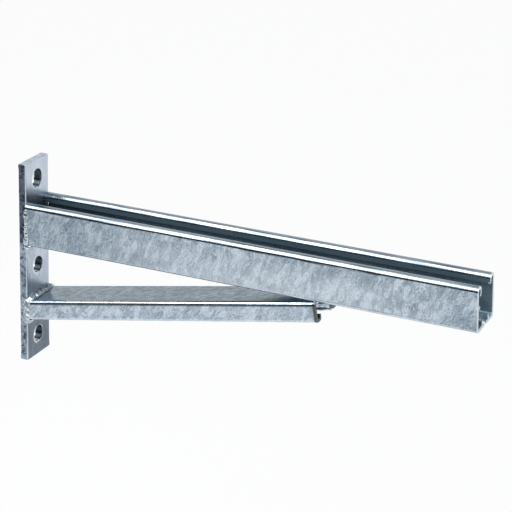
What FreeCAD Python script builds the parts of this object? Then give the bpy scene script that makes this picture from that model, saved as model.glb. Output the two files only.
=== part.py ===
# Welded cantilever arm: a lipped strut channel on a bolted back plate, propped by a shallower channel.
# Origin on the plate's back face, mid-width, level with the arm's load face. +X out along the arm, +Z up.
import FreeCAD, Part
import os
import re
import Sketcher
from FreeCAD import Vector

doc = FreeCAD.newDocument("cantilever_strut_arm")

# Driving dimensions, in millimetres
SIZES = [
    ("plate_width", 36.0, "flat bar width"),
    ("plate_thickness", 7.0, "flat bar thickness"),
    ("plate_height", 170.5, "length of bar cut for the plate"),
    ("plate_above_arm", 32.5, "plate top above the arm's load face"),
    ("plate_corner", 1.0, "rounding of the bar's long corners"),
    ("top_hole_drop", 16.0, "plate top to the top slot's centre"),
    ("mid_hole_drop", 74.8, "top slot to the middle hole"),
    ("low_hole_rise", 18.0, "plate foot to the bottom hole"),
    ("anchor_hole", 13.0, "width of the anchor holes"),
    ("top_hole_travel", 2.2, "how much longer than wide the top slot is"),
    ("strut_width", 41.0, "outside width of both channels"),
    ("strut_wall", 2.5, "sheet thickness of both channels"),
    ("strut_mouth", 22.5, "clear opening between the lips of both channels"),
    ("arm_depth", 36.0, "outside height of the arm channel"),
    ("arm_bend", 4.0, "outside radius of the arm's folds"),
    ("arm_lip", 7.0, "depth of the arm's turned-in lips"),
    ("arm_length", 382.0, "plate face to the arm's free end, along the underside"),
    ("end_rake", 2.2, "how far the saw cut falls back from the underside to the load face"),
    ("slot_width", 13.0, "width of the web slots"),
    ("slot_length", 28.0, "end-to-end length of the web slots"),
    ("slot_pitch", 50.0, "distance between slot centres"),
    ("slot_overrun", 0.2, "how far the last slot runs past the free end"),
    ("slot_clear", 15.0, "whole web kept next to the plate"),
    ("slot_edge", 6.0, "height of the slots' turned-up edges, from the underside"),
    ("brace_depth", 17.0, "outside height of the brace channel"),
    ("brace_bend", 3.0, "outside radius of the brace's folds"),
    ("brace_lip", 4.8, "depth of the brace's turned-in lips"),
    ("brace_drop", 47.8, "arm underside to the brace's web at the plate"),
    ("brace_reach", 251.4, "plate face to where the web meets the arm"),
    ("landing_length", 1.8, "length of web dressed flat under the arm"),
    ("arm_bead", 3.2, "radius of the weld bead round the arm"),
    ("brace_bead", 4.0, "radius of the weld bead round the brace"),
    ("tip_bead", 2.5, "radius of the weld bead at the brace's tip"),
    ("bead_inset", 1.0, "bead centre inside the channel's skin, and off the plate's face"),
    ("arm_bead_stop", 3.0, "the arm's side beads end this far below its load face"),
    ("brace_bead_stop", 0.5, "the brace's side beads end this far short of its lips"),
]

sheet = doc.addObject("Spreadsheet::Sheet", "Sizes")
for row, (alias, value, meaning) in enumerate(SIZES, start=1):
    sheet.set(f"A{row}", meaning)
    sheet.set(f"B{row}", str(value))
    sheet.setAlias(f"B{row}", alias)
doc.recompute()

# The brace slopes so that its web reaches the arm's underside at brace_reach
SLOPE = "atan([brace_drop] / [brace_reach])"
WEB_RUN = "sqrt([brace_drop] ^ 2 + [brace_reach] ^ 2)"
BRACE_LENGTH = f"({WEB_RUN} + [landing_length])"
# How far the mitred end runs back past the web's own end, measured along the brace
MITRE = f"([brace_depth] * tan({SLOPE}))"


def sized(text):
    """Turns the names in square brackets in a formula into references to the sheet."""
    return re.sub(r"\[(\w+)\]", r"<<Sizes>>.\1", text)


def value_of(text):
    """Works a formula out with the sheet's present values."""
    result = sheet.evalExpression(sized(text))
    return float(getattr(result, "Value", result))


def pin(sketch, geometry, point, across, up):
    """Fixes a point of the sketch at two formulas, each measured from the sketch's origin."""
    for kind, formula in (("DistanceX", across), ("DistanceY", up)):
        if formula is None:
            continue
        index = sketch.addConstraint(Sketcher.Constraint(kind, -1, 1, geometry, point, value_of(formula)))
        sketch.setExpression(f"Constraints[{index}]", sized(formula))


def fix_radius(sketch, geometry, formula):
    """Binds the radius of an arc or circle to a formula."""
    index = sketch.addConstraint(Sketcher.Constraint("Radius", geometry, value_of(formula)))
    sketch.setExpression(f"Constraints[{index}]", sized(formula))


def folded_outline(sketch, corners):
    """Closed outline of level and upright lines; a corner is (across, up, radius), radius None if sharp."""
    count = len(corners)
    places = [Vector(value_of(across), value_of(up), 0) for across, up, _ in corners]
    radii = [0.0 if radius is None else value_of(radius) for _, _, radius in corners]
    lines = []
    for i in range(count):
        start, end = places[i], places[(i + 1) % count]
        along = (end - start).normalize()
        first = start + along * radii[i]
        last = end - along * radii[(i + 1) % count]
        lines.append(sketch.addGeometry(Part.LineSegment(first, last), False))
    for i in range(count):
        level = abs(places[(i + 1) % count].y - places[i].y) < 1e-6
        sketch.addConstraint(Sketcher.Constraint("Horizontal" if level else "Vertical", lines[i]))
        before, here = lines[i - 1], lines[i]
        if corners[i][2] is None:
            sketch.addConstraint(Sketcher.Constraint("Coincident", before, 2, here, 1))
            continue
        entry, leave = sketch.Geometry[before].EndPoint, sketch.Geometry[here].StartPoint
        middle = entry + leave - places[i]
        halfway = middle + (places[i] - middle).normalize() * radii[i]
        arc = sketch.addGeometry(Part.Arc(entry, halfway, leave), False)
        turns_left = (entry - middle).cross(leave - middle).z > 0
        arc_in, arc_out = (1, 2) if turns_left else (2, 1)
        sketch.addConstraint(Sketcher.Constraint("Tangent", before, 2, arc, arc_in))
        sketch.addConstraint(Sketcher.Constraint("Tangent", here, 1, arc, arc_out))
        fix_radius(sketch, arc, corners[i][2])
    for i in range(count):
        level = abs(places[(i + 1) % count].y - places[i].y) < 1e-6
        across, up, _ = corners[i]
        pin(sketch, lines[i], 1, None if level else across, up if level else None)


def straight_outline(sketch, corners):
    """Closed outline of straight lines through pinned corners."""
    count = len(corners)
    places = [Vector(value_of(across), value_of(up), 0) for across, up in corners]
    lines = [
        sketch.addGeometry(Part.LineSegment(places[i], places[(i + 1) % count]), False) for i in range(count)
    ]
    for i in range(count):
        sketch.addConstraint(Sketcher.Constraint("Coincident", lines[i - 1], 2, lines[i], 1))
        pin(sketch, lines[i], 1, *corners[i])


def obround(sketch, centre_a, centre_b, radius):
    """Slot outline: two half circles about two centres, joined by tangent lines."""
    first = Vector(value_of(centre_a[0]), value_of(centre_a[1]), 0)
    second = Vector(value_of(centre_b[0]), value_of(centre_b[1]), 0)
    size = value_of(radius)
    along = (second - first).normalize() * size
    side = Vector(-along.y, along.x, 0)
    start = sketch.addGeometry(Part.Arc(first + side, first - along, first - side), False)
    lower = sketch.addGeometry(Part.LineSegment(first - side, second - side), False)
    finish = sketch.addGeometry(Part.Arc(second - side, second + along, second + side), False)
    upper = sketch.addGeometry(Part.LineSegment(second + side, first + side), False)
    for arc, arc_point, line, line_point in (
            (start, 2, lower, 1), (finish, 1, lower, 2), (finish, 2, upper, 1), (start, 1, upper, 2)):
        sketch.addConstraint(Sketcher.Constraint("Tangent", arc, arc_point, line, line_point))
    fix_radius(sketch, start, radius)
    pin(sketch, start, 3, *centre_a)
    pin(sketch, finish, 3, *centre_b)


def new_body(name):
    """A sub-part of the bracket."""
    body = doc.addObject("PartDesign::Body", name)
    body.Label = name
    return body


def new_sketch(body, name, plane, offset=None):
    """A sketch on one of the body's own origin planes, or moved off it along its normal by a formula."""
    sketch = body.newObject("Sketcher::SketchObject", name)
    sketch.AttachmentSupport = [(next(f for f in body.Origin.OriginFeatures if f.Role == plane), "")]
    sketch.MapMode = "FlatFace"
    if offset is not None:
        sketch.setExpression("AttachmentOffset.Base.z", sized(offset))
    return sketch


def place(body, x, z, tilt=None):
    """Puts a body in the bracket by formulas, with an optional upward slope."""
    body.setExpression("Placement.Base.x", sized(x))
    body.setExpression("Placement.Base.z", sized(z))
    if tilt is not None:
        body.Placement.Rotation = FreeCAD.Rotation(Vector(0, -1, 0), 1)
        body.setExpression("Placement.Rotation.Angle", sized(tilt))


def pad(body, name, sketch, length):
    """Extrudes a sketch along its normal."""
    feature = body.newObject("PartDesign::Pad", name)
    feature.Profile = sketch
    feature.setExpression("Length", sized(length))
    return feature


def pocket(body, name, sketch, length, against_normal, both_ways=False):
    """Cuts a sketch out of the body, to a stated side or half each way."""
    feature = body.newObject("PartDesign::Pocket", name)
    feature.Profile = sketch
    feature.Midplane = both_ways
    feature.Reversed = not against_normal
    feature.setExpression("Length", sized(length))
    return feature


# The least flat or radius that a folded section keeps
LEAST = "0.1"


def outside_radius(bend):
    """The outside radius of a channel's folds, as far as its lips leave room for two of them."""
    return f"min({bend}; ([strut_width] - [strut_mouth] - {LEAST}) / 4)"


def inside_radius(bend):
    """The inside radius of a fold, from its outside radius and the sheet's thickness."""
    return f"max({bend} - [strut_wall]; {LEAST})"


ARM_BEND = outside_radius("[arm_bend]")
BRACE_BEND = outside_radius("[brace_bend]")


def channel_corners(depth, lip, bend, mouth_up):
    """Outline of a lipped channel. Its web lies on the sketch's level axis and its mouth looks up or down."""
    sign = "" if mouth_up else "-"
    half, wall, inner = "[strut_width] / 2", "[strut_wall]", inside_radius(bend)
    web, web_in = "0", f"{sign}{wall}"
    edge, edge_in, tip = f"{sign}{depth}", f"{sign}({depth} - {wall})", f"{sign}({depth} - {lip})"
    mouth, lip_back = "[strut_mouth] / 2", "([strut_mouth] / 2 + [strut_wall])"
    return [
        (f"-{half}", web, bend), (half, web, bend), (half, edge, bend), (mouth, edge, bend),
        (mouth, tip, None), (lip_back, tip, None), (lip_back, edge_in, inner),
        (f"{half} - {wall}", edge_in, inner), (f"{half} - {wall}", web_in, inner),
        (f"-({half} - {wall})", web_in, inner), (f"-({half} - {wall})", edge_in, inner),
        (f"-{lip_back}", edge_in, inner), (f"-{lip_back}", tip, None), (f"-{mouth}", tip, None),
        (f"-{mouth}", edge, bend), (f"-{half}", edge, bend),
    ]


def turned_edge(sketch, side):
    """Section of one long edge of a web slot, turned up into the channel; side is its sign across."""
    rise, wall, inner = "[slot_width] / 2", "[strut_wall]", inside_radius(ARM_BEND)
    back = f"({rise} + {wall})"
    foot = f"({back} + 2 * {inner})"
    folded_outline(sketch, [
        (f"{side}{rise}", "0", None), (f"{side}{foot}", "0", None),
        (f"{side}{foot}", wall, None), (f"{side}{back}", wall, inner),
        (f"{side}{back}", "[slot_edge]", None), (f"{side}{rise}", "[slot_edge]", None),
    ])


# Back plate: flat bar stood on end, its long corners as rolled, holes punched through the thickness
PLATE_FOOT = "[plate_above_arm] - [plate_height]"
TOP_HOLE = "[plate_height] - [top_hole_drop]"
MID_HOLE = f"{TOP_HOLE} - [mid_hole_drop]"

plate = new_body("back_plate")
bar = new_sketch(plate, "BarSection", "XY_Plane")
folded_outline(bar, [
    ("0", "-[plate_width] / 2", "[plate_corner]"),
    ("[plate_thickness]", "-[plate_width] / 2", "[plate_corner]"),
    ("[plate_thickness]", "[plate_width] / 2", "[plate_corner]"),
    ("0", "[plate_width] / 2", "[plate_corner]"),
])
pad(plate, "Bar", bar, "[plate_height]")
place(plate, "0", PLATE_FOOT)
holes = new_sketch(plate, "AnchorHoles", "YZ_Plane")
obround(holes, ("0", f"{TOP_HOLE} + [top_hole_travel] / 2"), ("0", f"{TOP_HOLE} - [top_hole_travel] / 2"),
        "[anchor_hole] / 2")
for height in (MID_HOLE, "[low_hole_rise]"):
    hole = holes.addGeometry(
        Part.Circle(Vector(0, value_of(height), 0), Vector(0, 0, 1), value_of("[anchor_hole] / 2")), False)
    fix_radius(holes, hole, "[anchor_hole] / 2")
    pin(holes, hole, 3, "0", height)
doc.recompute()
pocket(plate, "AnchorHolesCut", holes, "[plate_thickness]", against_normal=False)

# Arm: lipped channel with its mouth up, its web slotted from the free end back, the slots' edges turned up
ARM_UNDERSIDE = "-[arm_depth]"
SLOT_MIDDLE = "([arm_length] + [slot_overrun] - [slot_length] / 2)"

arm = new_body("arm_channel")
arm_section = new_sketch(arm, "ArmSection", "YZ_Plane")
folded_outline(arm_section, channel_corners("[arm_depth]", "[arm_lip]", ARM_BEND, mouth_up=True))
pad(arm, "ArmChannel", arm_section, "[arm_length]")
place(arm, "[plate_thickness]", ARM_UNDERSIDE)
doc.recompute()
arm_blank_volume = arm.Shape.Volume

slot = new_sketch(arm, "LastSlot", "XY_Plane")
SLOT_HALF = "([slot_length] - [slot_width]) / 2"
obround(slot, (f"{SLOT_MIDDLE} - {SLOT_HALF}", "0"), (f"{SLOT_MIDDLE} + {SLOT_HALF}", "0"),
        "[slot_width] / 2")
slot_cut = pocket(arm, "LastSlotCut", slot, "[strut_wall]", against_normal=False)
EDGE_RUN = f"(2 * ([arm_length] - {SLOT_MIDDLE}))"
edges = new_sketch(arm, "LastSlotEdges", "YZ_Plane", offset=f"[arm_length] - {EDGE_RUN}")
turned_edge(edges, "")
turned_edge(edges, "-")
slot_edges = pad(arm, "LastSlotEdgesPad", edges, EDGE_RUN)
doc.recompute()
slots = arm.newObject("PartDesign::LinearPattern", "SlotRow")
slots.Originals = [slot_cut, slot_edges]
slots.Direction = (slot, ["H_Axis"])
slots.Reversed = True
SLOT_COUNT = f"floor(({SLOT_MIDDLE} - [slot_length] / 2 - [slot_clear]) / [slot_pitch]) + 1"
slots.setExpression("Occurrences", sized(SLOT_COUNT))
slots.setExpression("Length", sized(f"[slot_pitch] * (({SLOT_COUNT}) - 1)"))
arm.Tip = slots
doc.recompute()
square_end_volume = arm.Shape.Volume
saw = new_sketch(arm, "SawCut", "XZ_Plane")
straight_outline(saw, [
    ("[arm_length] + [end_rake]", "-[arm_depth]"),
    ("[arm_length] + 2 * [arm_depth]", "-[arm_depth]"),
    ("[arm_length] + 2 * [arm_depth]", "2 * [arm_depth]"),
    ("[arm_length] - 2 * [end_rake]", "2 * [arm_depth]"),
])
arm.Tip = pocket(arm, "EndSawn", saw, "2 * [strut_width]", against_normal=True, both_ways=True)

# Brace: shallower lipped channel with its mouth down, mitred to the plate, square at its free end
BRACE_LIFT = "-([arm_depth] + [brace_drop])"


def cut_to_plate(body):
    """Mitres a sloping piece to lie flat on the plate's face."""
    sketch = new_sketch(body, body.Label + "_mitre", "XZ_Plane")
    straight_outline(sketch, [
        (MITRE, "[brace_depth]"),
        ("-2 * [brace_depth]", "[brace_depth]"),
        ("-2 * [brace_depth]", "-2 * [brace_depth]"),
        (f"-2 * {MITRE}", "-2 * [brace_depth]"),
    ])
    pocket(body, body.Label + "_mitre_cut", sketch, "2 * [strut_width]", against_normal=True, both_ways=True)


brace = new_body("brace_channel")
brace_section = new_sketch(brace, "BraceSection", "YZ_Plane", offset=f"-{MITRE}")
folded_outline(brace_section, channel_corners("[brace_depth]", "[brace_lip]", BRACE_BEND, mouth_up=False))
pad(brace, "BraceChannel", brace_section, f"{BRACE_LENGTH} + {MITRE}")
place(brace, "[plate_thickness]", BRACE_LIFT, SLOPE)
doc.recompute()
brace_blank_volume = brace.Shape.Volume
cut_to_plate(brace)
landing = new_sketch(brace, "Landing", "XZ_Plane")
straight_outline(landing, [
    (WEB_RUN, "0"),
    (f"{WEB_RUN} + 2 * [landing_length]", f"-2 * [landing_length] * tan({SLOPE})"),
    (f"{WEB_RUN} + 2 * [landing_length]", "[strut_wall]"),
    (WEB_RUN, "[strut_wall]"),
])
pocket(brace, "LandingCut", landing, "2 * [strut_width]", against_normal=True, both_ways=True)


def solid_bar(name, depth, bend, mouth_up, start, length):
    """The space that a channel takes up, hollow and all, for fitting welds to it."""
    edge = depth if mouth_up else f"-{depth}"
    bar_body = new_body(name)
    section = new_sketch(bar_body, name + "_section", "YZ_Plane", offset=start)
    folded_outline(section, [
        ("-[strut_width] / 2", "0", bend), ("[strut_width] / 2", "0", bend),
        ("[strut_width] / 2", edge, bend), ("-[strut_width] / 2", edge, bend),
    ])
    pad(bar_body, name + "_pad", section, length)
    return bar_body


# The tightest turn of a bead's centre line, as a share of the bead's own radius
BEAD_TURN = 1.1


def bead_round(name, radius, depth, stop, bend, mouth_up):
    """Round bead that follows a channel's sides and web, a little inside its skin."""
    sign = 1 if mouth_up else -1
    mark = "" if mouth_up else "-"
    side, fold = "([strut_width] / 2 - [bead_inset])", f"max({bend} - [bead_inset]; {BEAD_TURN} * {radius})"
    edge, web_line = f"{mark}({depth} - {stop})", f"{mark}[bead_inset]"
    body = new_body(name)
    route = new_sketch(body, name + "_route", "YZ_Plane")
    half, turn, rise, level = value_of(side), value_of(fold), value_of(edge), value_of(web_line)
    slant = turn * (1 - 0.5 ** 0.5)
    upper = level + turn * sign
    left = route.addGeometry(Part.LineSegment(Vector(-half, rise, 0), Vector(-half, upper, 0)), False)
    left_fold = route.addGeometry(Part.Arc(
        Vector(-half, upper, 0),
        Vector(-half + slant, level + slant * sign, 0),
        Vector(-half + turn, level, 0)), False)
    web = route.addGeometry(Part.LineSegment(
        Vector(-half + turn, level, 0), Vector(half - turn, level, 0)), False)
    right_fold = route.addGeometry(Part.Arc(
        Vector(half - turn, level, 0),
        Vector(half - slant, level + slant * sign, 0),
        Vector(half, upper, 0)), False)
    right = route.addGeometry(Part.LineSegment(Vector(half, upper, 0), Vector(half, rise, 0)), False)
    enter, leave = (1, 2) if mouth_up else (2, 1)
    for line, line_point, arc, arc_point in (
            (left, 2, left_fold, enter), (web, 1, left_fold, leave),
            (web, 2, right_fold, enter), (right, 1, right_fold, leave)):
        route.addConstraint(Sketcher.Constraint("Tangent", line, line_point, arc, arc_point))
    for line, kind in ((left, "Vertical"), (web, "Horizontal"), (right, "Vertical")):
        route.addConstraint(Sketcher.Constraint(kind, line))
    for arc in (left_fold, right_fold):
        fix_radius(route, arc, fold)
    pin(route, left, 1, f"-{side}", edge)
    pin(route, right, 2, side, edge)
    pin(route, web, 1, None, web_line)
    ring = new_sketch(body, name + "_ring", "XY_Plane", offset=edge)
    circle = ring.addGeometry(Part.Circle(Vector(0, -half, 0), Vector(0, 0, 1), value_of(radius)), False)
    fix_radius(ring, circle, radius)
    pin(ring, circle, 3, "0", f"-{side}")
    doc.recompute()
    pipe = body.newObject("PartDesign::AdditivePipe", name + "_pipe")
    pipe.Profile = ring
    pipe.Spine = route
    return body


def weld(name, run, *neighbours):
    """What is left of a bead's run outside the pieces that it joins."""
    joined = doc.addObject("Part::MultiFuse", name + "_neighbours")
    joined.Shapes = list(neighbours)
    bead = doc.addObject("Part::Cut", name)
    bead.Label = name
    bead.Base = run
    bead.Tool = joined
    return bead


# Welds: a bead over each channel's web and sides at the plate, and one across the brace's tip
BEAD_OFF_WALL = "[plate_thickness] + [bead_inset]"

arm_bar = solid_bar("arm_bar", "[arm_depth]", ARM_BEND, True, "0", "[arm_length]")
place(arm_bar, "[plate_thickness]", ARM_UNDERSIDE)
arm_run = bead_round("arm_run", "[arm_bead]", "[arm_depth]", "[arm_bead_stop]", ARM_BEND, mouth_up=True)
place(arm_run, BEAD_OFF_WALL, ARM_UNDERSIDE)

brace_bar = solid_bar(
    "brace_bar", "[brace_depth]", BRACE_BEND, False, f"-{MITRE}", f"{BRACE_LENGTH} + {MITRE}")
cut_to_plate(brace_bar)
place(brace_bar, "[plate_thickness]", BRACE_LIFT, SLOPE)
brace_run = bead_round(
    "brace_run", "[brace_bead]", f"([brace_depth] / cos({SLOPE}))", "[brace_bead_stop]", BRACE_BEND,
    mouth_up=False)
place(brace_run, BEAD_OFF_WALL, f"{BRACE_LIFT} + [bead_inset] * tan({SLOPE})")

tip_run = doc.addObject("Part::Cylinder", "tip_run")
tip_run.Placement.Rotation = FreeCAD.Rotation(Vector(1, 0, 0), -90)
tip_run.setExpression("Radius", sized("[tip_bead]"))
tip_run.setExpression("Height", sized(f"[strut_width] - {ARM_BEND}"))
tip_run.setExpression("Placement.Base.x", sized(f"[plate_thickness] + {BRACE_LENGTH} * cos({SLOPE})"))
tip_run.setExpression("Placement.Base.y", sized(f"({ARM_BEND} - [strut_width]) / 2"))
tip_run.setExpression("Placement.Base.z", sized(ARM_UNDERSIDE))
doc.recompute()

arm_weld = weld("arm_weld", arm_run, arm_bar, plate)
brace_weld = weld("brace_weld", brace_run, brace_bar, plate)
tip_weld = weld("brace_tip_weld", tip_run, arm_bar, brace_bar)
doc.recompute()

# Checks before anything is written
for item in doc.Objects:
    if "Invalid" in item.State or "Error" in item.State:
        raise RuntimeError(f"{item.Name} failed: {item.State}")
NODES = [plate, arm, brace, arm_weld, brace_weld, tip_weld]
for node in NODES:
    shape = node.Shape
    if shape.isNull() or not shape.isValid() or len(shape.Solids) != 1:
        raise RuntimeError(f"{node.Label} is not one valid solid")
if not slot_cut.Shape.Volume < arm_blank_volume - 1:
    raise RuntimeError("the slots cut nothing")
if not slot_edges.Shape.Volume > slot_cut.Shape.Volume + 1:
    raise RuntimeError("the slots' edges add nothing")
if not arm.Shape.Volume < square_end_volume - 1:
    raise RuntimeError("the raked end cuts nothing")
if not brace.Shape.Volume < brace_blank_volume - 1:
    raise RuntimeError("the brace's end cuts cut nothing")

os.makedirs("parts", exist_ok=True)
for node in NODES:
    node.Shape.exportStep(f"parts/{node.Label}.step")
    box = node.Shape.BoundBox
    print(f"{node.Label:16s} volume {node.Shape.Volume:10.1f}  X {box.XMin:.2f} {box.XMax:.2f}"
          f"  Y {box.YMin:.2f} {box.YMax:.2f}  Z {box.ZMin:.2f} {box.ZMax:.2f}")
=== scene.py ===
import math

import bmesh
import bpy
from mathutils import Matrix, Vector, noise


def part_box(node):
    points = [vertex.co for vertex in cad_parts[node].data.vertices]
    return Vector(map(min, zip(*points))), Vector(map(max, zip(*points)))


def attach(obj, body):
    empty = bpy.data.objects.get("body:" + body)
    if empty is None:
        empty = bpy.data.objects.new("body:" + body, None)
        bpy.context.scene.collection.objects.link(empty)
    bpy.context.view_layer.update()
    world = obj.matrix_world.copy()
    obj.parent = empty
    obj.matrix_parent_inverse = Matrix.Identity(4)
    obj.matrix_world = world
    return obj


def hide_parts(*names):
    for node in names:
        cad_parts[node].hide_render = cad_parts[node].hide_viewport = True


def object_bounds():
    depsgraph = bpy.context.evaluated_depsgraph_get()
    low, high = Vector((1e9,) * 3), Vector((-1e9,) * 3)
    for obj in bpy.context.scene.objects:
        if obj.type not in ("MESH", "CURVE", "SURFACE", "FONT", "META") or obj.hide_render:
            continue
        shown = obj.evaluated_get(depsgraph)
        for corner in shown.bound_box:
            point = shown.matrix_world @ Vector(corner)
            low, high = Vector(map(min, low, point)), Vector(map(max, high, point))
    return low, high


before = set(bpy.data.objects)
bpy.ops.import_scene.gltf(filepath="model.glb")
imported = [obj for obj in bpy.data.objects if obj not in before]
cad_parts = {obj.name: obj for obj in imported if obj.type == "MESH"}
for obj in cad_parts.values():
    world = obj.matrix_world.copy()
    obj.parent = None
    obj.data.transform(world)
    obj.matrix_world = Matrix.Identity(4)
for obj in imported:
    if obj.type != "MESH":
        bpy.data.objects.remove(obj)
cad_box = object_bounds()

# The back plate: 36 x 7 mm steel flat bar, rolled with soft long corners, sheared to length and punched for
# three anchors, the top hole drawn a little upright. The punch rolled the holes' front edges over. The whole
# bracket was dipped in zinc after it was welded.
PLATE_LOW, PLATE_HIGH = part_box("back_plate")
PLATE_FACE = PLATE_HIGH.x
BORE_RADIUS = 0.0065
BORE_HEIGHTS = (0.0165, -0.0583, -0.1200)
TOP_BORE_TRAVEL = 0.0022
BORE_SIDES = 48
BORE_ROLL = 0.0013
ROLLED_CORNER = 0.0010
SHEARED_CORNER = 0.0004
SHARP_CORNER_ANGLE = math.radians(60)
SOFT_EDGE_ANGLE = math.radians(42)
CLOSE = 1e-5
SWIRL_MM, SWIRL_REACH = 15, 0.007
CRYSTAL_SHARE, CLOUD_SHARE = 0.17, 0.26
# Real pits and specks are too fine to show in the render, so the grain that makes them is drawn this coarse.
GRAIN_MM, GRAIN_RELIEF_SHARE = 1.1, 0.35
PIT, SPECK, MARK_SHARE = "#59636D", "#E2E9F0", 0.8


def finished_piece(name, shape, finish, slot_name, *nodes):
    """Turns a finished bmesh into a piece of the bracket, with its finish, in place of the CAD nodes that it
    stands for, which it hides. The slot_name argument is not used."""
    bmesh.ops.recalc_face_normals(shape, faces=shape.faces)
    mesh = bpy.data.meshes.new(name)
    shape.to_mesh(mesh)
    shape.free()
    mesh.polygons.foreach_set("use_smooth", [True] * len(mesh.polygons))
    mesh.set_sharp_from_angle(angle=SOFT_EDGE_ANGLE)
    mesh.materials.append(finish)
    piece = bpy.data.objects.new(name, mesh)
    bpy.context.scene.collection.objects.link(piece)
    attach(piece, "root")
    if nodes:
        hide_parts(*nodes)
    return piece


def linear(colour):
    """The linear colour that Blender's sockets take, from an sRGB hex value."""
    channels = [int(colour[i:i + 2], 16) / 255 for i in (1, 3, 5)]
    return [c / 12.92 if c <= 0.04045 else ((c + 0.055) / 1.055) ** 2.4 for c in channels] + [1.0]


def add_node(tree, kind, sockets=None, stops=(), **settings):
    """Adds a node with its settings and, for a ramp, its stops; a socket gets a value or another's link."""
    new = tree.nodes.new(kind)
    for name, value in settings.items():
        setattr(new, name, value)
    for name, value in (sockets or {}).items():
        if isinstance(value, bpy.types.NodeSocket):
            tree.links.new(value, new.inputs[name])
        else:
            new.inputs[name].default_value = value
    for position, colour in stops[2:]:
        new.color_ramp.elements.new(position)
    for stop, (position, colour) in enumerate(stops):
        new.color_ramp.elements[stop].position = position
        new.color_ramp.elements[stop].color = linear(colour)
    return new


def per_mm(size):
    """The scale of a texture whose features are this many millimetres across."""
    return 1000 / size


def within(tree, *limits, pattern=None, start=(0, 0, 0), pitch=0.0):
    """A mask that is 1 inside limits on the object's coordinates, each (axis, low, high, soft) in mm, from a
    start and pitched up by an angle, or shows a pattern there. The axis called across is the distance from
    the bracket's middle plane."""
    place = add_node(tree, "ShaderNodeTexCoord").outputs["Object"]
    place = add_node(tree, "ShaderNodeMapping", {
        "Vector": place, "Location": start, "Rotation": (0, -pitch, 0)}, vector_type="TEXTURE").outputs[0]
    split = add_node(tree, "ShaderNodeSeparateXYZ", {0: place})
    mask = pattern
    for axis, low, high, soft in limits:
        value = split.outputs["Y" if axis == "across" else axis]
        if axis == "across":
            value = add_node(tree, "ShaderNodeMath", {0: value}, operation="ABSOLUTE").outputs[0]
        for edge, levels in ((low, (0.0, 1.0)), (high, (1.0, 0.0))):
            step = add_node(tree, "ShaderNodeMapRange", {
                "Value": value, "From Min": (edge - soft) / 1000, "From Max": (edge + soft) / 1000,
                "To Min": levels[0], "To Max": levels[1]}, interpolation_type="SMOOTHSTEP").outputs[0]
            mask = step if mask is None else add_node(
                tree, "ShaderNodeMath", {0: mask, 1: step}, operation="MULTIPLY").outputs[0]
    return mask


def lay_over(tree, input_name, mask, value, share=1.0, blend="MIX"):
    """Lays a colour or a number over what feeds an input of the shader, as far as the mask and share say."""
    target = tree.nodes["Principled BSDF"].inputs[input_name]
    below = target.links[0].from_socket
    amount = add_node(tree, "ShaderNodeMath", {0: mask, 1: share}, operation="MULTIPLY").outputs[0]
    if input_name == "Base Color":
        mix = add_node(tree, "ShaderNodeMix", {0: amount, 6: below, 7: linear(value)}, data_type="RGBA",
                       blend_type=blend)
        tree.links.new(mix.outputs[2], target)
    else:
        mix = add_node(tree, "ShaderNodeMix", {0: amount, 2: below, 3: value})
        tree.links.new(mix.outputs[0], target)


def tint(tree, colour, share, *limits, blend="MIX", **where):
    """Lays a colour over the zinc inside limits, which are given as within takes them."""
    lay_over(tree, "Base Color", within(tree, *limits, **where), colour, share, blend)


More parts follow.
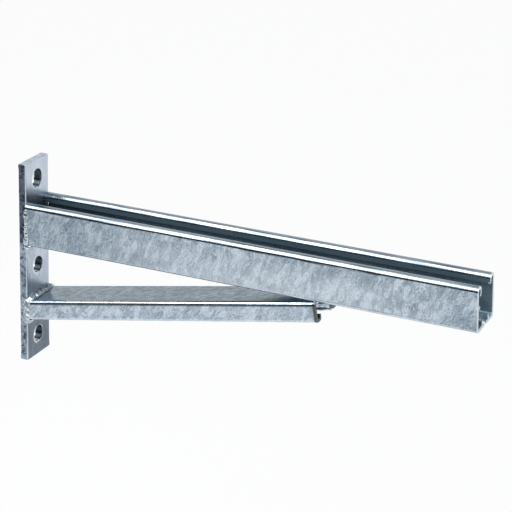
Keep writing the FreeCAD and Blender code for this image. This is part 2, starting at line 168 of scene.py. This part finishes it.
def dipped_zinc(name, tones, streak=1.2, crystal=3.2, cloud=16.0, lean=18, draw=3.2, rough=(0.46, 0.34),
                relief=0.15):
    """Hot-dip zinc: a bright metal whose spangle is streaks, crystals and clouds of grey, their sizes in mm,
    leaning and drawn out where the bath ran off, with dark pits and bright specks. The two values of rough
    are for its dark tones and its light ones, and relief is how deep its skin is in mm."""
    zinc = bpy.data.materials.new(name)
    zinc.use_nodes = True
    tree = zinc.node_tree
    shader = tree.nodes["Principled BSDF"]
    shader.inputs["Metallic"].default_value = 1.0
    place = add_node(tree, "ShaderNodeTexCoord").outputs["Object"]
    swirl = add_node(tree, "ShaderNodeTexNoise", {
        "Vector": place, "Scale": per_mm(SWIRL_MM), "Detail": 1.0}).outputs["Color"]
    bent = add_node(tree, "ShaderNodeVectorMath", {
        0: swirl, 1: (SWIRL_REACH,) * 3, 2: place}, operation="MULTIPLY_ADD").outputs[0]
    drawn = add_node(tree, "ShaderNodeMapping", {
        "Vector": bent, "Rotation": (0, math.radians(lean), 0), "Scale": (1, 1, draw)},
        vector_type="TEXTURE").outputs[0]
    streaks = add_node(tree, "ShaderNodeTexNoise", {
        "Vector": drawn, "Scale": per_mm(streak), "Detail": 5.0, "Roughness": 0.78,
        "Distortion": 0.8}).outputs["Fac"]
    crystals = add_node(tree, "ShaderNodeTexVoronoi", {
        "Vector": drawn, "Scale": per_mm(crystal), "Smoothness": 0.06}, feature="SMOOTH_F1").outputs["Color"]
    shades = add_node(tree, "ShaderNodeSeparateColor", {0: crystals}).outputs[0]
    clouds = add_node(tree, "ShaderNodeTexNoise", {
        "Vector": bent, "Scale": per_mm(cloud), "Detail": 3.0, "Roughness": 0.55}).outputs["Fac"]
    grain = add_node(tree, "ShaderNodeTexNoise", {
        "Vector": place, "Scale": per_mm(GRAIN_MM), "Detail": 1.0, "Roughness": 0.5}).outputs["Fac"]
    mottle = add_node(tree, "ShaderNodeMix", {0: CRYSTAL_SHARE, 2: streaks, 3: shades}).outputs[0]
    mottle = add_node(tree, "ShaderNodeMix", {0: CLOUD_SHARE, 2: mottle, 3: clouds}).outputs[0]
    colour = add_node(tree, "ShaderNodeValToRGB", {"Fac": mottle}, stops=(
        (0.40, tones[0]), (0.50, tones[1]), (0.59, tones[2]))).outputs["Color"]
    tree.links.new(colour, shader.inputs["Base Color"])
    polish = add_node(tree, "ShaderNodeMapRange", {
        "Value": mottle, "From Min": 0.36, "From Max": 0.64, "To Min": rough[0], "To Max": rough[1]})
    tree.links.new(polish.outputs["Result"], shader.inputs["Roughness"])
    for start, end, mark in ((0.34, 0.28, PIT), (0.66, 0.73, SPECK)):
        marks = add_node(tree, "ShaderNodeMapRange", {"Value": grain, "From Min": start, "From Max": end})
        lay_over(tree, "Base Color", marks.outputs["Result"], mark, MARK_SHARE)
    height = add_node(tree, "ShaderNodeMix", {0: GRAIN_RELIEF_SHARE, 2: mottle, 3: grain}).outputs[0]
    bump = add_node(tree, "ShaderNodeBump", {"Height": height, "Strength": 0.5, "Distance": relief / 1000})
    tree.links.new(bump.outputs["Normal"], shader.inputs["Normal"])
    return zinc


# Hot-dip zinc on thick bar, which cools slowly: the eye sees a broad, soft spangle on a satin face, made pale
# at the top by painted light and dull at the foot by painted shade, and sides that are greyer, with dark
# pits, painted shade beside the arm, and a painted highlight along the front corner.
plate_zinc = dipped_zinc(
    "hot_dip_zinc_on_flat_bar", ("#96A2B0", "#ADBAC9", "#C3CEDB"), streak=2.4, crystal=8, cloud=22, lean=4,
    rough=(0.36, 0.27))
tree = plate_zinc.node_tree
FACE, BAR_SIDES = ("X", 6.9, 9, 0.1), ("across", 17.3, 30, 0.3)
PIT_PATCH_MM = 3.2
# Painted light makes the face paler, most at the top, and painted shade darkens its foot.
tint(tree, "#D1DBE7", 0.6, FACE, ("Z", 6, 60, 10))
tint(tree, "#C8D3DF", 0.4, FACE, ("Z", -160, 6, 10))
tint(tree, "#7C848A", 0.9, FACE, ("Z", -160, -100, 4), blend="MULTIPLY")
tint(tree, "#7C848B", 0.95, ("X", -1, 6.2, 0.5), BAR_SIDES, ("Z", -36, 60, 5), blend="MULTIPLY")
tint(tree, "#D8DDE2", 0.9, ("X", -1, 6.2, 0.5), BAR_SIDES, ("Z", -160, -36, 5), blend="MULTIPLY")
place = add_node(tree, "ShaderNodeTexCoord").outputs["Object"]
pitted = add_node(tree, "ShaderNodeTexNoise", {
    "Vector": place, "Scale": per_mm(PIT_PATCH_MM), "Detail": 4.0, "Roughness": 0.7}).outputs["Fac"]
pitted = add_node(tree, "ShaderNodeMapRange", {
    "Value": pitted, "From Min": 0.50, "From Max": 0.58}).outputs["Result"]
tint(tree, "#7A828A", 0.9, ("X", -1, 6.4, 0.3), BAR_SIDES, blend="MULTIPLY", pattern=pitted)
# Painted shade on the front of the sides, in the corner under the arm and its weld.
tint(tree, "#5A6268", 0.8, ("X", 3.8, 6.2, 0.4), BAR_SIDES, ("Z", -38, -2, 1.5), blend="MULTIPLY")
# Painted highlight along the bar's front long corners.
tint(tree, "#DCE4EB", 0.5, ("X", 6.0, 7.0, 0.3), BAR_SIDES)

# Each hole has painted shade in its wall, a rolled edge with painted shade on one side and a painted
# highlight on the other, a painted highlight in a crescent on the face beside it, and a painted glint low on
# its wall.
BORES, BORE_SPAN = ("across", -1, 9, 0.3), ("Z", -130, 30, 1)
HIGHLIGHT_CRESCENT_RADII = (0.0082, 0.0091)
GLINT_PLACE, GLINT_RADII = Vector((0.0044, -0.0008, -0.0066)), (0.0018, 0.0030)
# Painted shade in the walls, and on the rolled edges painted shade on one side, a painted highlight on the
# other.
tint(tree, "#161D22", 0.93, ("X", 0.5, 5.2, 0.4), BORES, BORE_SPAN)
tint(tree, "#2A3238", 0.85, ("X", 5.0, 6.7, 0.2), ("Y", 1.5, 9, 0.8), BORE_SPAN)
tint(tree, "#F2F6FA", 0.7, ("X", 5.4, 6.7, 0.2), ("Y", -9, 1.5, 0.8), BORE_SPAN)


def round_spot(tree, centre, radii):
    """A mask that is 1 round a point, out to the first radius, and fades away by the second."""
    place = add_node(tree, "ShaderNodeTexCoord").outputs["Object"]
    away = add_node(tree, "ShaderNodeVectorMath", {0: place, 1: centre}, operation="DISTANCE")
    return add_node(tree, "ShaderNodeMapRange", {
        "Value": away.outputs["Value"], "From Min": radii[0], "From Max": radii[1],
        "To Min": 1.0, "To Max": 0.0}).outputs["Result"]


# Painted highlights: a crescent on the face beside each hole and a glint low on its wall.
for height in BORE_HEIGHTS:
    highlight_crescent = round_spot(tree, (PLATE_FACE, 0, height), HIGHLIGHT_CRESCENT_RADII)
    tint(tree, "#EEF3F7", 0.8, FACE, ("Y", -12, -3.4, 1.6), pattern=highlight_crescent)
    glint = round_spot(tree, GLINT_PLACE + Vector((0, 0, height)), GLINT_RADII)
    lay_over(tree, "Base Color", glint, "#E4EBF1", 0.9)

plate = bmesh.new()
for height in BORE_HEIGHTS:
    ring = bmesh.ops.create_circle(plate, segments=BORE_SIDES, radius=BORE_RADIUS)["verts"]
    bmesh.ops.rotate(plate, verts=ring, cent=(0, 0, 0), matrix=Matrix.Rotation(math.radians(90), 3, "Y"))
    if height == BORE_HEIGHTS[0]:
        for vert in ring:
            vert.co.z += math.copysign(TOP_BORE_TRAVEL / 2, vert.co.z)
    bmesh.ops.translate(plate, verts=ring, vec=(0, 0, height))
outline = bmesh.ops.create_grid(plate, x_segments=1, y_segments=1, size=1.0)
bmesh.ops.delete(plate, geom=list(plate.faces), context="FACES_ONLY")
for vert in outline["verts"]:
    side, end = vert.co.x, vert.co.y
    vert.co = (0, PLATE_HIGH.y * side, PLATE_HIGH.z if end > 0 else PLATE_LOW.z)
bmesh.ops.triangle_fill(plate, use_beauty=True, edges=plate.edges)
pushed = bmesh.ops.extrude_face_region(plate, geom=list(plate.faces), use_keep_orig=True)
bmesh.ops.translate(plate, vec=(PLATE_FACE, 0, 0),
                    verts=[item for item in pushed["geom"] if isinstance(item, bmesh.types.BMVert)])
bmesh.ops.recalc_face_normals(plate, faces=plate.faces)


def corners(shape, wanted):
    """The edges of a shape where two faces meet squarely and whose middle passes a test."""
    return [edge for edge in shape.edges if len(edge.link_faces) == 2
            and edge.calc_face_angle() > SHARP_CORNER_ANGLE
            and wanted((edge.verts[0].co + edge.verts[1].co) / 2)]


def on_side(point):
    """Whether a point lies on one of the bar's long sides."""
    return abs(point.y) > PLATE_HIGH.y - CLOSE


def on_end(point):
    """Whether a point lies on one of the bar's sheared ends."""
    return point.z > PLATE_HIGH.z - CLOSE or point.z < PLATE_LOW.z + CLOSE


def on_bore_front(point):
    """Whether a point lies on a hole's front edge: on the bar's face, and not on its outline."""
    return point.x > PLATE_FACE - CLOSE and not on_side(point) and not on_end(point)


for offset, steps, wanted in (
        (BORE_ROLL, 4, on_bore_front),
        (ROLLED_CORNER, 3, lambda point: on_side(point) and not on_end(point)),
        (SHEARED_CORNER, 2, on_end)):
    bmesh.ops.bevel(plate, geom=corners(plate, wanted), offset=offset, offset_type="OFFSET", affect="EDGES",
                    segments=steps, profile=0.5, material=-1, clamp_overlap=True)
bar = finished_piece("flat_bar_plate", plate, plate_zinc, "galvanised_plate", "back_plate")
bar.modifiers.new("flat_faces", "WEIGHTED_NORMAL").keep_sharp = True

# The arm: 41 x 36 mm strut, roll-formed from 2.5 mm steel strip with inturned lips, open side up, its web
# slotted and its free end sawn a little out of square. It is the CAD solid, dressed here, and its square end
# is welded to the plate.
LIP_TOPS, ARM_SIDES = ("Z", -3.4, 5, 0.6), ("across", 17.6, 30, 0.6)
ARM_INSIDE = (("across", -1, 18.3, 0.15), ("Z", -35.2, -3.6, 0.4))
SAWN_TOP, SAWN_RAKE = Vector((0.3868, 0, 0)), math.atan2(2.2, 36)
# The lines that the rolls left along the strip are finer than this, which is as narrow as they show.
ROLL_LINE_MM, ROLL_LINE_DRAW = 1.4, 22

# Hot-dip zinc on thin rolled strip, an even coat: the eye sees bright, smooth folds with roll lines along
# their tops, a small leaning spangle on the sides and a pale sawn end. Painted shade dulls the lip tops'
# backs, the lower folds, the underside, the inside and the sides near the plate. Painted dark reflection
# lines run beside the folds, with a painted highlight on the bottom fold and painted light low on the sides.
arm_zinc = dipped_zinc("hot_dip_zinc_on_rolled_strut", ("#8B9AA8", "#ADBDCB", "#D0DDE7"))
tree = arm_zinc.node_tree
place = add_node(tree, "ShaderNodeTexCoord").outputs["Object"]
roll_and_reflection_lines = add_node(tree, "ShaderNodeMapping", {
    "Vector": place, "Scale": (ROLL_LINE_DRAW, 1, 1)}, vector_type="TEXTURE").outputs[0]
roll_and_reflection_lines = add_node(tree, "ShaderNodeTexNoise", {
    "Vector": roll_and_reflection_lines, "Scale": per_mm(ROLL_LINE_MM), "Detail": 2.0}).outputs["Fac"]
roll_and_reflection_lines = add_node(tree, "ShaderNodeMapRange", {
    "Value": roll_and_reflection_lines, "From Min": 0.42, "From Max": 0.62}).outputs["Result"]
lay_over(tree, "Roughness", within(tree, ("Z", -4.6, 5, 1.0)), 0.16)
tint(tree, "#A9B5C0", 0.75, LIP_TOPS)
# Painted shade on the parts of the lip tops that face away from the light and down the lips' inner folds.
for low, high in ((-18.0, -11), (13.4, 24)):
    tint(tree, "#828D97", 0.75, ("Z", -3.2, 5, 0.3), ("Y", low, high, 0.2))
tint(tree, "#55656F", 0.8, ("across", -1, 14.6, 0.4), ("Z", -8, -2.4, 0.4))
tint(tree, "#828D97", 0.85, LIP_TOPS, blend="MULTIPLY", pattern=roll_and_reflection_lines)
# Painted dark reflection lines beside the sides' top and bottom folds, and a painted highlight on the bottom
# fold.
tint(tree, "#232A30", 0.75, ARM_SIDES, ("Z", -4.5, -2.9, 0.4), pattern=roll_and_reflection_lines)
tint(tree, "#59636C", 0.65, ARM_SIDES, ("Z", -33.4, -32.4, 0.3), pattern=roll_and_reflection_lines)
tint(tree, "#DCE5ED", 0.5, ARM_SIDES, ("Z", -35.7, -33.6, 0.3))
# Painted shade on the lower folds and the underside.
tint(tree, "#5D6871", 0.5, ("across", 10, 30, 0.6), ("Z", -60, -34.6, 0.5))
tint(tree, "#4C5760", 0.8, ("Z", -60, -35.8, 0.2))
# Painted shade inside the channel, where the zinc is also made rougher.
tint(tree, "#6C838F", 0.85, *ARM_INSIDE)
lay_over(tree, "Roughness", within(tree, *ARM_INSIDE), 0.6)
# Painted light low on the sides away from the plate, and painted shade on the sides near it.
tint(tree, "#E6EEF6", 0.25, ("X", 90, 330, 60), ARM_SIDES, ("Z", -60, -12, 8))
tint(tree, "#D0D4D8", 0.6, ("X", -1, 90, 55), ARM_SIDES, blend="MULTIPLY")
tint(tree, "#E3EAF0", 0.7, ("X", -0.4, 5, 0.1), start=SAWN_TOP, pitch=SAWN_RAKE)
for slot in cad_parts["arm_channel"].material_slots:
    slot.material = arm_zinc

# The brace: shallow 41 x 17 mm strut of the same steel strip, open side down. It is the CAD solid, dressed
# here, mitred and welded to the plate at its foot, and cut square and welded under the arm at its tip.
BRACE_FOOT = Vector((PLATE_FACE, 0, -0.0838))
BRACE_TIP = Vector((PLATE_FACE + 0.2514, 0, -0.0360))
BRACE_PITCH = math.atan2(BRACE_TIP.z - BRACE_FOOT.z, BRACE_TIP.x - BRACE_FOOT.x)
BRACE_LENGTH_MM = (BRACE_TIP - BRACE_FOOT).length * 1000
ON_BRACE = {"start": BRACE_FOOT, "pitch": BRACE_PITCH}
BRACE_WEB, BRACE_SIDES = (("across", -1, 17.4, 0.4), ("Z", -1, 2, 0.4)), ("across", 18, 30, 0.5)
SCUFF_MM, SCUFF_DRAW, SCUFF_LEAN = 2.0, 4, math.radians(35)

# Hot-dip zinc on the shallow strut: the eye sees the arm's spangle on the sides, leaning more, and a darker
# web with scuffs slanting across it. Painted dark reflection lines run along the top folds, painted shade
# greys the near top fold above its glint and blackens the inside and the tip, and a painted highlight lies on
# the bottom folds.
brace_zinc = dipped_zinc(
    "hot_dip_zinc_on_shallow_strut", ("#96A5B3", "#B4C3D0", "#D4DFEA"), lean=38, draw=2.4)
tree = brace_zinc.node_tree
lay_over(tree, "Roughness", within(tree, ("Z", -3.4, 2, 0.8), **ON_BRACE), 0.18)
tint(tree, "#94A3AC", 0.9, *BRACE_WEB, blend="MULTIPLY", **ON_BRACE)
place = add_node(tree, "ShaderNodeTexCoord").outputs["Object"]
scuffs = add_node(tree, "ShaderNodeMapping", {
    "Vector": place, "Rotation": (0, 0, SCUFF_LEAN), "Scale": (SCUFF_DRAW, 1, 1)},
    vector_type="TEXTURE").outputs[0]
scuffs = add_node(tree, "ShaderNodeTexNoise", {
    "Vector": scuffs, "Scale": per_mm(SCUFF_MM), "Detail": 4.0, "Roughness": 0.75}).outputs["Fac"]
scuffs = add_node(tree, "ShaderNodeMapRange", {
    "Value": scuffs, "From Min": 0.49, "From Max": 0.57}).outputs["Result"]
tint(tree, "#868F96", 0.9, *BRACE_WEB, blend="MULTIPLY", pattern=scuffs, **ON_BRACE)
# Painted dark reflection lines under the top folds, painted shade inside, and painted shade on the near top
# fold.
tint(tree, "#20272D", 0.75, BRACE_SIDES, ("Z", -3.6, -2.1, 0.4), **ON_BRACE)
tint(tree, "#2B363D", 0.97, ("across", -1, 18.2, 0.15), ("Z", -12, -1.7, 0.4), **ON_BRACE)
tint(tree, "#66717B", 0.75, ("Y", -17.9, -16.4, 0.3), ("Z", -3, 2, 0.5), **ON_BRACE)
# Painted highlight on the bottom folds, and painted shade on the tip's sawn end.
tint(tree, "#DCE5ED", 0.45, BRACE_SIDES, ("Z", -16.4, -14.6, 0.3), **ON_BRACE)
tint(tree, "#4C5155", 0.9, ("X", BRACE_LENGTH_MM - 0.5, 300, 0.3), **ON_BRACE)
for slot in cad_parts["brace_channel"].material_slots:
    slot.material = brace_zinc

# The weld beads: steel fillet passes round the arm and over the brace on the plate, and a short one across
# the brace's tip, dipped with the rest. Each is a row of overlapping ripples, with lumps, and thin where the
# welder started and stopped.
BEAD_STEP = 0.0006
BEAD_SIDES = 14
BEAD_OFF_PLATE = 0.0009
BEAD_END_SIZE = 0.55
RIPPLE_SWEEP, RIPPLE_LEAN = 0.3, math.radians(45)
RIPPLE_MIDDLE = 0.6
LUMP_MM, LUMP_TURN = 4.0, 0.8

# Hot-dip zinc on weld metal, thick and fine-grained: the eye sees glossy ripples, grey in their hollows.
# Painted shade darkens the side of the arm's bead that shows inside the channel.
weld_zinc = dipped_zinc("hot_dip_zinc_on_weld", ("#8E99A3", "#B9C3CC", "#D9E1E8"), streak=1.6, crystal=3.0,
                        cloud=6.0, lean=0, draw=1.0, rough=(0.3, 0.2), relief=0.2)
tint(weld_zinc.node_tree, "#2C363D", 0.92,
     ("X", 6, 16, 0.5), ("across", -1, 18.2, 0.3), ("Z", -34.2, -1, 0.4))

# The same zinc on the brace's bead dried rougher: the eye sees a soft sheen, and the bead paler where it goes
# down the sides.
brace_weld_zinc = dipped_zinc("hot_dip_zinc_on_brace_weld", ("#8A949C", "#B6C0C9", "#DAE2E9"), streak=1.6,
                              crystal=3.0, cloud=6.0, lean=0, draw=1.0, rough=(0.42, 0.32), relief=0.2)
tint(brace_weld_zinc.node_tree, "#C5CED6", 0.8, ("across", 17.5, 30, 1.5), ("Z", -120, -86, 2))


def walk(start, heading, legs):
    """The stations along a bead's route in Y and Z, as (place, way out); a leg is (length, turn)."""
    place, angle = Vector(start), math.radians(heading)
    for length, turn in legs:
        steps = max(1, round(length / BEAD_STEP))
        for _ in range(steps):
            yield place.copy(), Vector((math.sin(angle), -math.cos(angle)))
            angle += math.radians(turn) / steps
            place += Vector((math.cos(angle), math.sin(angle))) * length / steps


def lay_bead(stations, centre, reach, stand, pitch, ripple, lumps, seed):
    """The shape of a welded bead: a ring pushed from station to station, its size rising and falling. It
    reaches along the strut and stands out from it, each given on the strut's sides and on its web."""
    shape = bmesh.new()
    stations = list(stations)
    ring = bmesh.ops.create_circle(shape, segments=BEAD_SIDES, radius=reach[0])["verts"]
    first = edges = list(shape.edges)
    for count, (place, way_out) in enumerate(stations):
        if count:
            pushed = bmesh.ops.extrude_edge_only(shape, edges=edges)["geom"]
            ring = [item for item in pushed if isinstance(item, bmesh.types.BMVert)]
            edges = [item for item in pushed if isinstance(item, bmesh.types.BMEdge)
                     and all(vert in ring for vert in item.verts)]
        on_web = abs(way_out.y)
        reach_here, stand_here = (side + (web - side) * on_web for side, web in (reach, stand))
        from_end = min(count, len(stations) - 1 - count) * BEAD_STEP
        taper = min(1.0, BEAD_END_SIZE + (1 - BEAD_END_SIZE) * from_end / reach[0])
        for turn, vert in enumerate(ring):
            angle = math.tau * turn / BEAD_SIDES
            along = count * BEAD_STEP + RIPPLE_SWEEP * reach_here * math.cos(angle - RIPPLE_LEAN)
            beat = abs(math.sin(math.pi * along / pitch)) - RIPPLE_MIDDLE
            spot = (Vector((place.x, place.y, seed / 1000)) * per_mm(LUMP_MM)
                    + Vector((0, 0, LUMP_TURN * math.sin(angle))))
            size = taper * (1 + ripple * beat + lumps * noise.noise(spot))
            out = math.sin(angle) * size * stand_here
            vert.co = (centre + math.cos(angle) * size * reach_here,
                       place.x + way_out.x * out, place.y + way_out.y * out)
    bmesh.ops.holes_fill(shape, edges=first, sides=BEAD_SIDES)
    bmesh.ops.holes_fill(shape, edges=edges, sides=BEAD_SIDES)
    return shape


ARM_ROUND_LEGS = ((0.0275, 0), (0.0055, 90), (0.0322, 0), (0.0055, 90), (0.0275, 0))
arm_pass = lay_bead(
    walk((-0.0196, -0.0040), -90, ARM_ROUND_LEGS), PLATE_FACE + BEAD_OFF_PLATE, reach=(0.0021, 0.0040),
    stand=(0.0021, 0.0032), pitch=0.0034, ripple=0.10, lumps=0.55, seed=3.0)
finished_piece("arm_fillet", arm_pass, weld_zinc, "galvanised_weld", "arm_weld")

BRACE_OVER_LEGS = ((0.0020, -62), (0.0110, 0), (0.0060, -90), (0.0306, 0), (0.0060, -90), (0.0110, 0),
                   (0.0020, -62))
brace_pass = lay_bead(
    walk((-0.0178, -0.1010), 152, BRACE_OVER_LEGS), PLATE_FACE + BEAD_OFF_PLATE, reach=(0.0040, 0.0047),
    stand=(0.0030, 0.0038), pitch=0.0026, ripple=0.32, lumps=0.18, seed=8.0)
finished_piece("brace_fillet", brace_pass, brace_weld_zinc, "galvanised_weld", "brace_weld")

TIP_MIDDLE = (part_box("brace_tip_weld")[0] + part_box("brace_tip_weld")[1]) / 2
TIP_SETBACK = 0.0006
tip_pass = lay_bead(
    walk((-0.0190, -0.0362), 0, ((0.0372, 0),)), TIP_MIDDLE.x - TIP_SETBACK, reach=(0.0021, 0.0021),
    stand=(0.0021, 0.0021), pitch=0.0030, ripple=0.12, lumps=0.3, seed=5.0)
finished_piece("tip_fillet", tip_pass, weld_zinc, "galvanised_weld", "brace_tip_weld")

# The tears of zinc: drops, runs and spurs that froze where the bath ran off last, under the brace's lips at
# its tip, on the arm's sawn end, at the foot of both near welds and in a row where the arm's far lip meets
# the plate. Each is rooted in the metal, and is given by its place and half sizes in mm and its pitch.
TEAR_ROUNDNESS = 3
ZINC_TEARS_MM = (
    ((261.0, -13.6, -53.1), (0.9, 3.4, 1.5), 0), ((260.9, -11.9, -53.6), (0.8, 1.3, 1.6), 0),
    ((252.3, 15.0, -54.6), (9.8, 4.6, 1.9), BRACE_PITCH), ((260.6, 15.4, -53.2), (1.2, 4.2, 1.6), 0),
    ((386.5, -12.2, -7.6), (0.8, 0.9, 1.7), 0), ((387.6, -17.2, -15.8), (1.0, 1.7, 1.4), 0),
    ((387.4, -16.2, -17.0), (0.8, 0.9, 1.2), 0), ((386.4, 11.9, -6.9), (0.8, 1.5, 0.8), 0),
    ((9.0, -18.7, -36.9), (4.2, 1.7, 2.2), 0), ((8.9, -18.8, -101.6), (5.0, 1.6, 2.4), 0.6),
    ((7.9, 11.9, -3.6), (1.5, 1.3, 1.5), 0), ((7.8, 11.5, -5.8), (1.3, 1.2, 1.4), 0),
    ((8.0, 11.6, -8.0), (1.5, 1.3, 1.5), 0), ((7.8, 11.8, -10.4), (1.2, 1.1, 1.6), 0))
tears = bmesh.new()
for place_mm, size_mm, pitch in ZINC_TEARS_MM:
    drop = (Matrix.Translation(Vector(place_mm) / 1000) @ Matrix.Rotation(-pitch, 4, "Y")
            @ Matrix.Diagonal(Vector(size_mm)).to_4x4())
    bmesh.ops.create_icosphere(tears, subdivisions=TEAR_ROUNDNESS, radius=0.001, matrix=drop)
finished_piece("zinc_tears", tears, weld_zinc, "galvanised_weld")

# The studio: a white paper floor that the bracket hangs over, a white room, one big softbox overhead and
# a dark card in front, whose reflection, with the painted dark lines on the zinc, draws the thin dark line
# along the folds. None of it belongs to the bracket.
ROOM_CENTRE = Vector((0.2, 0, 0))
FLOOR_DROP = 0.30
FLOOR_RADIUS = 12.0
FLOOR_WHITE_SHARE = 0.93
CARD_DISTANCE = 2.2
CARD_FOOT, CARD_TOP = (CARD_DISTANCE * math.tan(math.radians(angle)) for angle in (-8, 21))
CARD_MIDDLE, CARD_SPREAD = math.radians(-111), math.radians(120)
SOFTBOX_WAY = Vector((-0.363, -0.444, 0.819))
SOFTBOX_DISTANCE, SOFTBOX_WIDTH, SOFTBOX_WATTS = 1.2, 1.0, 16


def studio_piece(name, shape, colour):
    """A piece of the studio made of matt card or paper, which gives the eye one even tone."""
    piece = bpy.data.objects.new(name, bpy.data.meshes.new(name))
    shape.to_mesh(piece.data)
    shape.free()
    bpy.context.scene.collection.objects.link(piece)
    matt = bpy.data.materials.new(name)
    matt.use_nodes = True
    matt.node_tree.nodes["Principled BSDF"].inputs["Base Color"].default_value = linear(colour)
    matt.node_tree.nodes["Principled BSDF"].inputs["Roughness"].default_value = 0.9
    piece.data.materials.append(matt)
    return piece


def white_where_seen(tree, surface, output, share):
    """Makes a surface or the room white for the camera and in metal, as far as the share says."""
    rays = add_node(tree, "ShaderNodeLightPath")
    seen = rays.outputs["Is Camera Ray"]
    for kind in ("Is Glossy Ray", "Is Transmission Ray"):
        seen = add_node(tree, "ShaderNodeMath", {
            0: seen, 1: rays.outputs[kind]}, operation="MAXIMUM").outputs[0]
    amount = add_node(tree, "ShaderNodeMath", {0: seen, 1: share}, operation="MULTIPLY").outputs[0]
    white = add_node(tree, "ShaderNodeEmission", {"Color": linear("#FFFFFF"), "Strength": 1.0})
    show = add_node(tree, "ShaderNodeMixShader", {0: amount, 1: surface, 2: white.outputs[0]})
    tree.links.new(show.outputs[0], output)


paper = bmesh.new()
bmesh.ops.create_circle(paper, cap_ends=True, segments=96, radius=FLOOR_RADIUS)
bmesh.ops.translate(paper, verts=paper.verts, vec=(ROOM_CENTRE.x, 0, cad_box[0].z - FLOOR_DROP))
floor = studio_piece("white_paper_floor", paper, "#E6E8EA")
tree = floor.data.materials[0].node_tree
white_where_seen(tree, tree.nodes["Principled BSDF"].outputs[0],
                 tree.nodes["Material Output"].inputs["Surface"], FLOOR_WHITE_SHARE)

card = bmesh.new()
card_start = CARD_MIDDLE - CARD_SPREAD / 2
card_edge = [card.verts.new(ROOM_CENTRE + Vector((
    CARD_DISTANCE * math.cos(card_start), CARD_DISTANCE * math.sin(card_start), height)))
    for height in (CARD_FOOT, CARD_TOP)]
bmesh.ops.spin(card, geom=card_edge + [card.edges.new(card_edge)], cent=ROOM_CENTRE, axis=(0, 0, 1),
               angle=CARD_SPREAD, steps=32)
dark_card = studio_piece("dark_card", card, "#202428")
dark_card.visible_camera = dark_card.visible_diffuse = dark_card.visible_shadow = False

room = bpy.data.worlds.new("studio_room")
bpy.context.scene.world = room
room.use_nodes = True
tree = room.node_tree
tree.nodes["Background"].inputs["Color"].default_value = linear("#C8CCD0")
white_where_seen(tree, tree.nodes["Background"].outputs[0], tree.nodes["World Output"].inputs["Surface"], 1.0)

light = bpy.data.lights.new("overhead_softbox", "AREA")
light.shape, light.size, light.energy = "SQUARE", SOFTBOX_WIDTH, SOFTBOX_WATTS
softbox = bpy.data.objects.new("overhead_softbox", light)
softbox.location = ROOM_CENTRE + SOFTBOX_WAY.normalized() * SOFTBOX_DISTANCE
softbox.rotation_euler = (-SOFTBOX_WAY).to_track_quat("-Z", "Y").to_euler()
softbox.visible_camera = False
bpy.context.scene.collection.objects.link(softbox)

# The camera: a long lens, where the photograph was taken from, beyond the arm's free end, to one side of it
# and above it, and rolled by two degrees.
VIEW_TARGET = Vector((0.2019, 0.00015, -0.0153))
VIEW_DISTANCE = 1.3933
VIEW_AZIMUTH, VIEW_ELEVATION, VIEW_ROLL = (math.radians(a) for a in (22.885, 20.857, 2.055))
FOCAL_PIXELS, FRAME_PIXELS = 1791.0, 512

camera = bpy.data.objects.new("camera", bpy.data.cameras.new("camera"))
bpy.context.scene.collection.objects.link(camera)
bpy.context.scene.camera = camera
camera.data.lens = FOCAL_PIXELS / FRAME_PIXELS * camera.data.sensor_width
towards = Vector((math.sin(VIEW_AZIMUTH) * math.cos(VIEW_ELEVATION),
                  -math.cos(VIEW_AZIMUTH) * math.cos(VIEW_ELEVATION), math.sin(VIEW_ELEVATION)))
camera.location = VIEW_TARGET + towards * VIEW_DISTANCE
upright = (-towards).to_track_quat("-Z", "Y").to_matrix()
camera.rotation_euler = (upright @ Matrix.Rotation(VIEW_ROLL, 3, "Z")).to_euler()
camera.data.clip_start, camera.data.clip_end = 0.1, 50.0

bpy.context.scene.view_settings.view_transform = "Standard"
